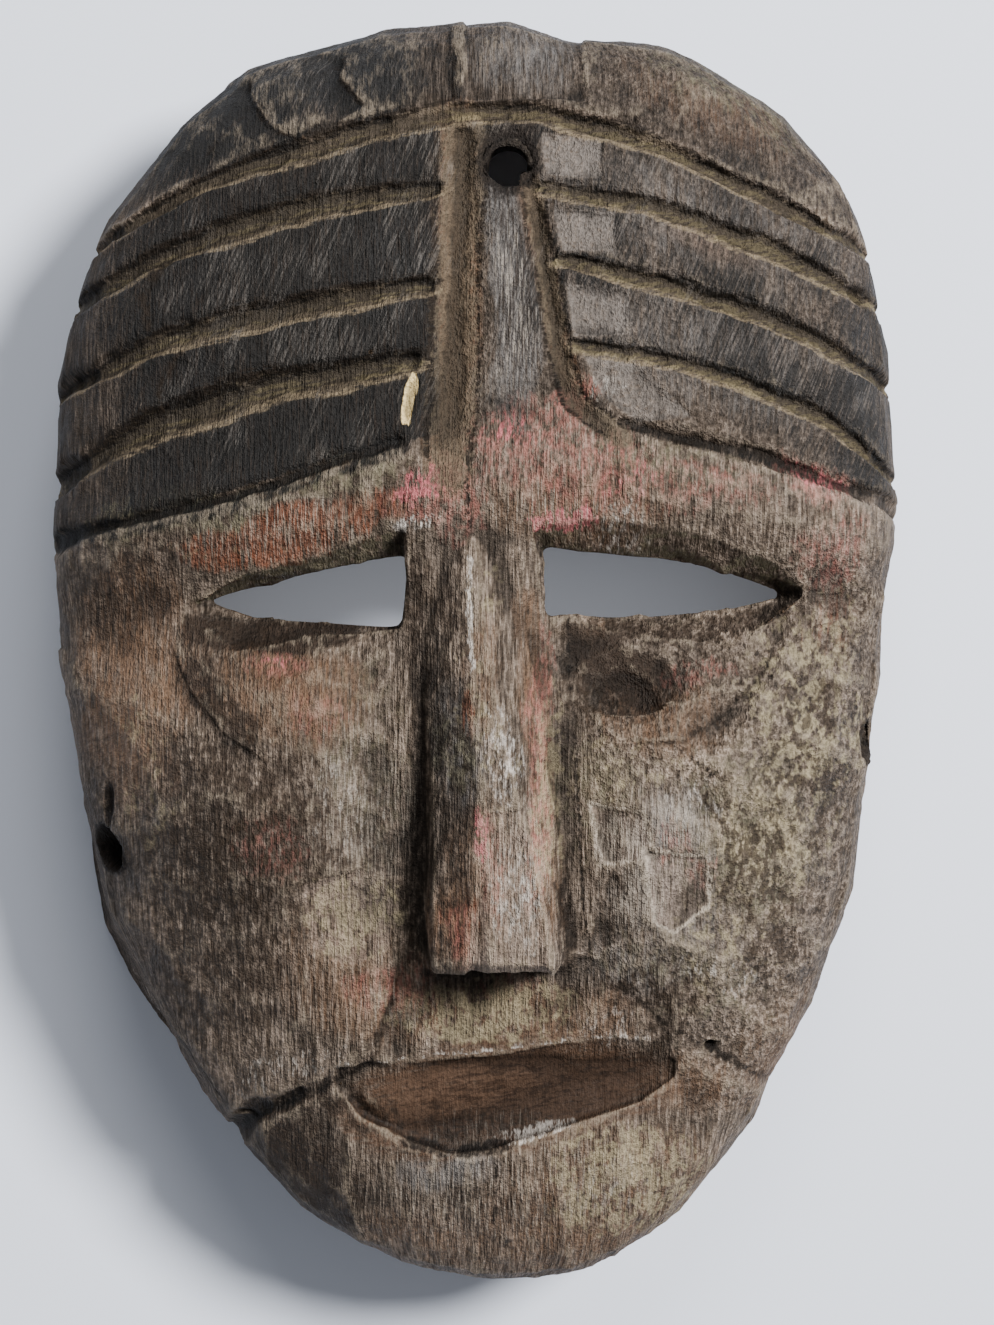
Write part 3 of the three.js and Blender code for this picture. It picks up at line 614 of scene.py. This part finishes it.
def paintGrooves(x, y, layers, stray, regions, left, patches, uneven):
    # the bed, painted shade on its steep upper side, a painted highlight along the top of its lower side
    # and the flecks between them
    bed, side, edge, fleck = (np.full(len(x), 9.0) for _ in range(4))
    for groove in grooves.values():
        across = acrossGroove(x, y, groove, stray)
        bed = np.minimum(bed, np.where(across > 0, 1.25 * across, -across))
        half = 0.46 if groove["path"][0][0] < 0 else 0.32
        side = np.minimum(side, np.abs(across - 0.42) / half / uneven)
        edge = np.minimum(edge, np.abs(across + 0.46) / 0.17)
        fleck = np.minimum(fleck, np.abs(across + 0.12) / 0.36)
    for channel in channels.values():
        offset, share, distance = alongPath(x, y, channel["path"])
        bed = np.minimum(bed, (distance + 0.6 * stray) / channel["width"] + 0.04)
        ends = 0.05 + 0.95 * fadeIn(np.minimum(share, 1 - share), 0, 0.06)
        for middle in (-0.48, 0.48):
            gap = np.abs(offset - middle * channel["width"] + stray)
            side = np.minimum(side, gap / (1.2 * ends * uneven))
    layers["grooveFloor"] = 1 - bed
    layers["grooveWallShade"] = (1 - side) * (1 - 0.35 * regions["wall"]) * (0.82 + 0.18 * left)
    layers["grooveEdgeHighlight"] = 1 - edge
    layers["grooveFleck"] = (1 - fleck) * (0.9 - 0.35 * left + 0.5 * patches)
    return bed


def evened(points, edges, passes):  # the surface after that many rounds of averaging with its neighbours
    ends = np.concatenate([edges[:, 0], edges[:, 1]])
    others = np.concatenate([edges[:, 1], edges[:, 0]])
    count = np.maximum(np.bincount(ends, minlength=len(points)), 1)
    for _ in range(passes):
        sums = [np.bincount(ends, points[others, k], len(count)) for k in range(3)]
        points = np.stack([total / count for total in sums], axis=1)
    return points


def paintPiece(piece):
    points, normals = readMesh(piece)
    x, y, z = points.T
    regions = regionsOf(points, normals)
    skin, bands = regions["skin"], regions["bands"]
    left = fadeIn(-5 - x, 0, 2)
    stray = strayOf(points)
    layers = drawPaint(x, y, points)

    def deepen(name, cover):
        layers[name] = np.maximum(layers[name], cover)

    # soot and smoke on the bands and the cap, and painted shade in the deep part of the scoop
    inScoop = [fadeIn(insidePolygon(x, y, part) + 0.9 * stray, -0.6, 0.5) for part in scoopShade]
    deepen("dark", touches["scoopShadeDark"] * np.max(inScoop, axis=0))
    deepen("smokeAndShade", touches["scoopShadeGlaze"] * np.max(inScoop, axis=0))
    patches = roughness(points, 12, 31)
    thin = touches["channelWorn"] * fadeIn(x, -26, -8) + touches["edgeWorn"] * fadeIn(-x, 52, 72)
    deepen("sootAndShade", left * bands * (1.25 - thin + 0.2 * patches))
    rightSoot = touches["rightSoot"] + touches["rightPatches"] * patches
    rightSoot *= 1 - 0.9 * spot(x, y, (38, 44), (30, 9), -16)
    deepen("sootAndShade", (1 - left) * bands * rightSoot)
    inTools = inFacets(x, y, ("tool1", "tool2", "tool3", "tool4"), 0, -0.4, 0.4) * (1 - left)
    layers["sootAndShade"] *= 1 - touches["facetClean"] * inTools
    layers["shaved"] = inTools
    inTip = inFacets(x, y, ["noseTip"], 0.4 * stray, -0.3, 0.3)
    layers["tip"] = touches["noseTip"] * inTip * fadeIn(z, 60, 64)
    # the pale tip colour on the lit left-cheek facet is a painted highlight; the other two are pale facets
    for name in ("cheekLit", "whiteEdged", "striped"):
        deepen("tip", touches[name] * inFacets(x, y, [name], 0.8 * stray, -0.4, 0.5))
    smoked = (touches["bandSmoke"] + touches["leftSmoke"] * left + touches["facetSmoke"] * inTools) * bands
    deepen("smokeAndShade", smoked + (touches["capSmoke"] - 0.05 * fadeIn(x, -5, 10)) * regions["cap"])
    clumps = roughness(points, (4, 8, 8), 33)
    glint = touches["leftGlint"] * left + touches["glint"]
    glint = glint + touches["channelGlint"] * fadeIn(x, -30, -12) * left + touches["glintClumps"] * clumps
    layers["glint"] = bands * glint * (1 - 0.5 * fadeIn(-x, 50, 66))
    deepen("hatch", (0.12 + 0.22 * left) * bands + 0.2 * regions["cap"])
    # painted shade on the nose's left-facing side, which is turned away from the key light
    shadedFlank = regions["nose"] * fadeIn(2 - x, 0, 3) * fadeIn(-normals[:, 0], 0.25, 0.6)
    deepen("dark", touches["flankShade"] * shadedFlank)

    # the upper walls of the eye slits face down and are painted lighter than the face, as painted light
    # against their shade; the lower lids are darker
    reveal = fadeIn(0.62 - normals[:, 2], 0, 0.3) * fadeIn(-normals[:, 1], 0.3, 0.6)
    reveal *= fadeIn(spot(x, y, (4, 14), (62, 16), 0), 0, 0.1)
    lowerLid = fadeIn(3.4 - alongPath(x, y, lowerLidPath)[2] + 0.6 * stray, 0, 1)
    for name in ("dark", "smokeAndShade", "scabs"):
        layers[name] = layers[name] * (1 - touches["revealPaintedLight"] * reveal)
    deepen("olive", touches["revealLightOlive"] * reveal)
    deepen("smokeAndShade", touches["lidSmoke"] * lowerLid)
    for name in layers:
        layers[name] = layers[name] * skin

    # dirt and painted shade in the cuts, with painted highlights on the groove edges
    uneven = 0.7 + 0.5 * roughness(points, 9, 32)
    bed = paintGrooves(x, y, layers, stray, regions, left, patches, uneven)
    valley = np.full(len(x), 9.0)
    lines = [(path, 0.3, 1.6) for path in browLines.values()]
    lines += [(step["path"], 0.6, 1.3 * step.get("darkening", 1)) for step in steps.values()]
    lines += [(crease["path"], 1.0, 0.95) for crease in creases.values()]
    for path, bend, thick in lines:
        offset, share, _ = alongPath(x, y, path)
        ends = 0.1 + 0.9 * fadeIn(np.minimum(share, 1 - share), 0, 0.2)
        valley = np.minimum(valley, np.abs(offset + bend * stray) / (thick * ends * (0.4 + 0.9 * uneven)))
    layers["valley"] = 1 - valley
    outline = [np.abs(insidePolygon(x, y, facets[name]["corners"]) + 0.8 * stray)
               for name in ("whiteEdged", "striped")]
    layers["facetRim"] = 1 - np.min(outline, axis=0) / 0.6
    nearCrack = np.min([alongPath(x + 0.5 * stray, y, path)[2] for path in cracks], axis=0)
    layers["split"] = 1 - nearCrack / 0.55
    # gouges, slots and tie holes are painted dark inside as painted shade
    for gouge in gouges.values():
        inside = spot(x + 0.5 * stray, y, gouge["at"], gouge["size"], gouge["turn"])
        deepen("shade", gouge["darkening"] * fadeIn(inside, 0.05, 0.6))
    for slit in slits.values():
        deepen("shade", fadeIn(inSlit(points, slit), 0, 0.6))
    apart = np.hypot(x - topHole["at"][0], y - topHole["at"][1])
    tunnel = fadeIn(topHole["radius"] - apart, 0, 1.2) * (z > 34)
    for side, (atY, atZ), radius in sideHoles:
        inHole = fadeIn(radius - np.hypot(y - atY, z - atZ), 0, 1.2)
        tunnel = np.maximum(tunnel, inHole * (side * x > 54))
    deepen("shade", 1.2 * tunnel)
    layers["bareHollow"] = (1 - skin) * (1 - tunnel)

    # where the wood is weathered into crumbs, and the tone of each cut
    crusted = regions["face"] * (1 - regions["nose"]) * (0.3 + 0.7 * fadeIn(x, 12, 24))
    smudged = 0.75 * (1 - left) * (bands + regions["cap"] * fadeIn(x, 14, 22)) * (1 - fadeIn(-z, -40, -30))
    layers["grainy"] = np.clip(crusted + 0.25 * regions["browRidge"] + smudged, 0, 1)
    layers["grainy"] *= 1 - 0.8 * spot(x, y, (31, -39), (17, 18)) ** 0.5
    tone = np.full(len(x), 0.5)
    for name in ("cap", "bands", "face", "chin", "scoop", "nose"):
        _, cutTone = chiselCuts(x, y, chisel[name])
        tone += (cutTone - 0.5) * regions[name] * 0.6
    for facet in facets.values():
        depth = insidePolygon(x, y, facet["corners"]) + 0.9 * stray
        tone += (facet["tone"] - tone) * fadeIn(depth, -0.2, 0.4)
    tone += (touches["revealLightTone"] - tone) * reveal + (touches["underLidTone"] - tone) * lowerLid
    layers["tone"] = tone

    # what stands out from the evened surface is rubbed pale; what lies below it is darkened later as
    # painted shade
    edges = np.empty(len(piece.data.edges) * 2, np.int64)
    piece.data.edges.foreach_get("vertices", edges)
    edges = edges.reshape(-1, 2)
    even = evened(points, edges, wearPasses["edges"])
    layers["worn"] = np.sum((points - even) * normals, axis=1) / 0.55
    layers["worn"] *= (1 - (0.6 + 0.3 * left) * bands) * fadeIn(bed, 0.7, 1.1)
    even = evened(even, edges, wearPasses["darkening"] - wearPasses["edges"])
    layers["swell"] = np.sum((points - even) * normals, axis=1) * (0.3 + 0.7 * skin)

    # the walls folded out flat, so that the streaks run on down them
    away = np.hypot(x, 0.67 * y) + 1
    drop = np.maximum(46 - z, 0)
    flat = np.stack([x + drop * x / away, y + drop * 0.67 * y / away, 0.1 * z], axis=1) / 1000
    place = piece.data.attributes.new("flatPlace", "FLOAT_VECTOR", "POINT")
    place.data.foreach_set("vector", flat.astype(np.float32).ravel())
    for name, values in layers.items():
        if name not in ("tone", "swell", "grainy"):
            values = np.clip(values, 0, 1.6) * (1 if name in ("bareHollow", "shade") else skin)
        attribute = piece.data.attributes.new(name, "FLOAT", "POINT")
        attribute.data.foreach_set("value", values.astype(np.float32))
    print("paint laid:", len(layers), "layers")


# how the pigment breaks up: patches in mm across and along, and how they are turned
brushes = {"streaks": (0.6, 6, 0), "hairs": (0.34, 6, 0), "strokes": (0.42, 8, -22),
           "crumbs": (1.6, 2.6, 4), "crust": (2.3, 3.2, 0), "dabs": (0.8, 2.5, 0),
           "level": (3.2, 0.8, 10), "dots": (1.1, 1.3, -30)}
# the layers from the ground up: colour, brush, how ragged (below 0 it lies where the brush leaves gaps)
# and how soft the edges are, and the most it covers
woodLayers = {
    "grey": ("#6a6663", "streaks", 0.6, 0.3, 0.8),
    "olive": ("#6e6853", "crust", -0.8, 0.25, 0.7),
    "warm": ("#775a44", "streaks", 0.7, 0.35, 0.65),
    "mouthFloor": ("#513d2f", "level", 0.5, 0.3, 0.95),
    "mouthLines": ("#2a1d15", "level", -1.2, 0.14, 0.6),
    "orange": ("#80482f", "streaks", -0.8, 0.25, 0.62),
    "dark": ("#2e241c", "crumbs", 0.8, 0.25, 0.82),
    "sootAndShade": ("#1b1a19", "strokes", -0.45, 0.25, 0.92),
    "cream": ("#9c8f72", "crust", 1, 0.16, 0.62),
    "scabs": ("#2f251b", "crumbs", 1.1, 0.12, 0.75),
    "red": ("#aa6b60", "dabs", 0.8, 0.3, 0.66),
    "pink": ("#b8666a", "dabs", 1.2, 0.16, 0.75),
    "shaved": ("#6c655f", "dots", 0.7, 0.4, 0.75),
    "tip": ("#a08c7e", "streaks", 1, 0.25, 0.42),
    "white": ("#c9c0b6", "dabs", -1, 0.2, 0.72),
    "grooveFloor": ("#5a4f40", "dots", 0.3, 0.1, 0.75),
    # painted shade on the steep side of the grooves and channels, then a painted highlight on the groove
    # edges
    "grooveWallShade": ("#1f1811", "level", 0.9, 0.2, 0.85),
    "grooveEdgeHighlight": ("#87775f", "level", -0.9, 0.2, 0.5),
    "grooveFleck": ("#857859", "level", -1.3, 0.16, 0.5),
    # dark lines along the brow lines, steps and creases, partly dirt and partly painted shade
    "valley": ("#211911", "crumbs", 0.8, 0.3, 0.8),
    "facetRim": ("#b8ab9a", "dots", 0.6, 0.25, 0.7),
    "scratch": ("#9c9184", "hairs", 1, 0.1, 0.5),
    "glint": ("#6b655f", "strokes", 1.15, 0.2, 0.4),
    "hatch": ("#2a211a", "hairs", -1.1, 0.1, 0.6),
    "worn": ("#958775", "dabs", 0.8, 0.3, 0.4),
    "shade": ("#1a1410", "dots", 0.5, 0.3, 0.88),
    "split": ("#17110c", "dots", 0.6, 0.2, 0.85),
    "fresh": ("#e2c78e", "streaks", 0.3, 0.1, 1),
    "bareHollow": ("#5d4936", "streaks", 0.1, 0.4, 0.9),
}
woodTones = [(0.37, "#33291f"), (0.5, "#5b4f44"), (0.63, "#87786b")]
woodGrain = {"streaks": (0.5, 7), "crumbs": (0.9, 1.2), "blotches": (4.2, 5.5), "specks": (0.55, 0.7)}


def makeWood():
    # Hand-carved hardwood, smoke-darkened and handled: matt, with a dry streaky grain along the height,
    # worn pigment in patches, pale rubbed edges, dirt and painted shade in every cut, and painted
    # highlights.
    material = bpy.data.materials.new("handCarvedSmokedHardwood")
    material.use_nodes = True
    tree = material.node_tree
    tree.nodes.clear()
    place = addNode(tree, "ShaderNodeAttribute", {"attribute_name": "flatPlace"}).node.outputs["Vector"]
    grain, brushed = {}, {}
    for name, (across, along) in woodGrain.items():
        drawn = addNode(tree, "ShaderNodeMapping", {"vector_type": "TEXTURE",
                        "Scale": (across / 1000, along / 1000, across / 1000)}, {"Vector": place})
        grain[name] = addNode(tree, "ShaderNodeTexNoise", {"Scale": 1.0, "Detail": 2, "Roughness": 0.76},
                              {"Vector": drawn})
    read = {name: addNode(tree, "ShaderNodeAttribute", {"attribute_name": name}).node.outputs["Fac"]
            for name in [*woodLayers, "grainy", "tone", "smokeAndShade", "swell"]}

    # the wood itself: streaks where it was shaved, crumbs where it is weathered
    grainShare = addNode(tree, "ShaderNodeMapRange", {"To Min": 0.15, "To Max": 0.75},
                         {"Value": read["grainy"]})
    mixed = addNode(tree, "ShaderNodeMix", {"data_type": "FLOAT"},
                    {0: grainShare, 2: grain["streaks"], 3: grain["crumbs"]})
    ramp = addNode(tree, "ShaderNodeValToRGB", links={"Fac": mixed})
    stops = ramp.node.color_ramp.elements
    for stop, (position, code) in zip((stops[0], stops.new(0.5), stops[-1]), woodTones):
        stop.position, stop.color = position, toLinear(code)
    patchy = addNode(tree, "ShaderNodeMapRange", {"From Min": 0.34, "From Max": 0.66, "To Min": 0.66,
                                                  "To Max": 1.3}, {"Value": grain["blotches"]})
    cutTone = addNode(tree, "ShaderNodeMapRange", {"To Min": 0.72, "To Max": 1.3}, {"Value": read["tone"]})
    # the smoke and the painted shade darken the wood
    smokeAndShadeFactor = addNode(tree, "ShaderNodeMapRange", {"To Min": 1.0, "To Max": 0.35}, {"Value": read["smokeAndShade"]})
    brightness = addNode(tree, "ShaderNodeMath", {"operation": "MULTIPLY"}, {0: patchy, 1: cutTone})
    brightness = addNode(tree, "ShaderNodeMath", {"operation": "MULTIPLY"}, {0: brightness, 1: smokeAndShadeFactor})
    colour = addNode(tree, "ShaderNodeVectorMath", {"operation": "SCALE"}, {0: ramp, "Scale": brightness})
    rough = addNode(tree, "ShaderNodeMath", {"operation": "ADD"}, {0: mixed, 1: grain["blotches"]})
    rough = addNode(tree, "ShaderNodeMath", {"operation": "MULTIPLY_ADD", 1: 0.7},
                    {0: grain["specks"], 2: rough})
    calm = addNode(tree, "ShaderNodeMapRange", {"To Min": 1.0, "To Max": 0.25},
                   {"Value": read["mouthFloor"]})
    rough = addNode(tree, "ShaderNodeMath", {"operation": "MULTIPLY"}, {0: rough, 1: calm})

    for name, (across, along, turn) in brushes.items():
        drawn = addNode(tree, "ShaderNodeMapping", {"vector_type": "TEXTURE",
                        "Rotation": (0, 0, math.radians(turn)),
                        "Scale": (across / 1000, along / 1000, across / 1000)}, {"Vector": place})
        brushed[name] = addNode(tree, "ShaderNodeTexNoise", {"Scale": 1.0, "Detail": 2, "Roughness": 0.74},
                                {"Vector": drawn})
    for name, (code, brush, ragged, soft, most) in woodLayers.items():
        broken = addNode(tree, "ShaderNodeMapRange", {"From Min": 0.32, "From Max": 0.68,
                         "To Min": 1 - ragged, "To Max": 1 + ragged}, {"Value": brushed[brush]})
        laid = addNode(tree, "ShaderNodeMath", {"operation": "MULTIPLY"}, {0: read[name], 1: broken})
        cover = addNode(tree, "ShaderNodeMapRange",
                        {"From Min": 0.5 - soft, "From Max": 0.5 + soft, "To Max": most}, {"Value": laid})
        colour = addNode(tree, "ShaderNodeMix", {"data_type": "RGBA", 7: toLinear(code)},
                         {0: cover, 6: colour})

    # painted shade darkens the hollows of the surface, broken up by specks
    depth = addNode(tree, "ShaderNodeMapRange", {"From Min": -0.5, "From Max": -0.04, "To Min": 0.45},
                    {"Value": read["swell"]})
    speckled = addNode(tree, "ShaderNodeMapRange", {"From Min": 0.36, "From Max": 0.6, "To Min": 0.72,
                                                    "To Max": 1.22}, {"Value": grain["specks"]})
    depth = addNode(tree, "ShaderNodeMath", {"operation": "MULTIPLY"}, {0: depth, 1: speckled})
    colour = addNode(tree, "ShaderNodeVectorMath", {"operation": "SCALE"}, {0: colour, "Scale": depth})
    bump = addNode(tree, "ShaderNodeBump", {"Strength": 1.0, "Distance": 0.0011}, {"Height": rough})
    sheen = addNode(tree, "ShaderNodeMapRange", {"From Min": 0.3, "From Max": 0.7, "To Min": 0.6,
                                                 "To Max": 0.88}, {"Value": grain["blotches"]})
    surface = addNode(tree, "ShaderNodeBsdfPrincipled", {"IOR": 1.5, "Specular IOR Level": 0.2},
                      {"Base Color": colour, "Normal": bump, "Roughness": sheen})
    addNode(tree, "ShaderNodeOutputMaterial", links={"Surface": surface})
    return material


mask = makeCarving()
print("carving made:", len(mask.data.polygons), "faces")
paintPiece(mask)
mask.data.materials.append(makeWood())
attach(mask, "root")
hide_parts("mask")


studio = {"floorHex": "#eef3ff", "reach": 3.0, "floorDrop": 0.0002, "cameraAt": (0.00435, -0.00255, 0.711),
          "lens": 96.18, "sensor": 36, "keyAt": (0.724, 0.369, 1.15), "keySize": 0.36, "keyPower": 40.0,
          "topAt": (0.05, 0.75, 0.95), "topSize": 0.5, "topPower": 4.5, "sky": "#f0f4fb",
          "skyStrength": 0.265,
          "insideAt": (-0.002, 0.002, 0.036), "insideSize": (0.12, 0.02), "insidePower": 0.0078}


def makeStudio():
    bpy.ops.object.select_all(action="DESELECT")
    bpy.ops.mesh.primitive_plane_add(size=studio["reach"], location=(0, 0, -studio["floorDrop"]))
    floor = bpy.context.object
    floor.name = "paleFloor"
    paper = bpy.data.materials.new("matBackgroundPaper")  # pressed paper: flat white, no shine
    paper.use_nodes = True
    shader = paper.node_tree.nodes["Principled BSDF"]
    shader.inputs["Base Color"].default_value = toLinear(studio["floorHex"])
    shader.inputs["Roughness"].default_value = 0.9
    floor.data.materials.append(paper)
    for name in ("key", "top"):
        light = bpy.data.lights.new(name + "Light", "AREA")
        light.shape = "DISK"
        light.size = studio[name + "Size"]
        light.energy = studio[name + "Power"]
        lamp = bpy.data.objects.new(name + "Light", light)
        bpy.context.scene.collection.objects.link(lamp)
        lamp.location = studio[name + "At"]
        aim = -lamp.location.normalized()
        lamp.rotation_euler = aim.to_track_quat("-Z", "Y").to_euler()
    # a faint lamp in the hollow, so that the floor seen through the eyes isn't black
    light = bpy.data.lights.new("insideLight", "AREA")
    light.shape = "RECTANGLE"
    light.size, light.size_y = studio["insideSize"]
    light.energy = studio["insidePower"]
    lamp = bpy.data.objects.new("insideLight", light)
    lamp.visible_camera = False
    lamp.location = studio["insideAt"]
    bpy.context.scene.collection.objects.link(lamp)
    world = bpy.data.worlds.new("softSky")
    world.use_nodes = True
    sky = world.node_tree.nodes["Background"]
    sky.inputs["Color"].default_value = toLinear(studio["sky"])
    sky.inputs["Strength"].default_value = studio["skyStrength"]
    bpy.context.scene.world = world
    view = bpy.data.cameras.new("photoCamera")
    view.lens = studio["lens"]
    view.sensor_width = studio["sensor"]
    camera = bpy.data.objects.new("photoCamera", view)
    bpy.context.scene.collection.objects.link(camera)
    camera.location = studio["cameraAt"]
    bpy.context.scene.camera = camera


makeStudio()
print("studio set")
